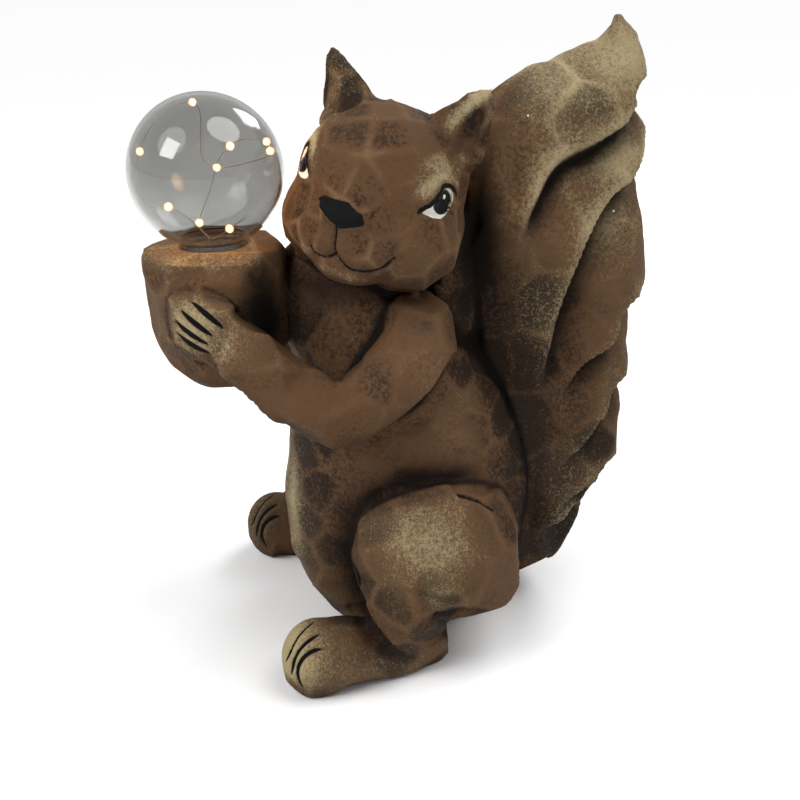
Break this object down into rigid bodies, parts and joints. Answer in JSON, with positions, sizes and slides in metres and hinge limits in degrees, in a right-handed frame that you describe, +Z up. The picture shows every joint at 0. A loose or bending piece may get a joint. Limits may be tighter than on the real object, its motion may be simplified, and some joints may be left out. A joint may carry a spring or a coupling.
{
  "type": "garden statue",
  "caption": "Sitting squirrel garden statue with an upright tail, holding a nut that carries a closed clear glass globe with small lights.",
  "frame": {"origin": "middle of the bounding box's underside, on the ground that the statue stands on", "axes": "+Z up; -Y the way the squirrel's body faces, with the globe in front and the tail behind; +X the squirrel's left, the side that its head is turned to"},
  "size_m": [0.195, 0.2799, 0.34],
  "materials": {
    "painted_cast": "matte painted cast fibre clay in wood browns, with dark washes and golden dry-brushed ridges",
    "clear_glass": "clear, smooth and thin"
  },
  "bodies": {
    "root": {"squirrel_statue": "painted_cast", "glass_globe": "clear_glass"}
  },
  "joints": []
}
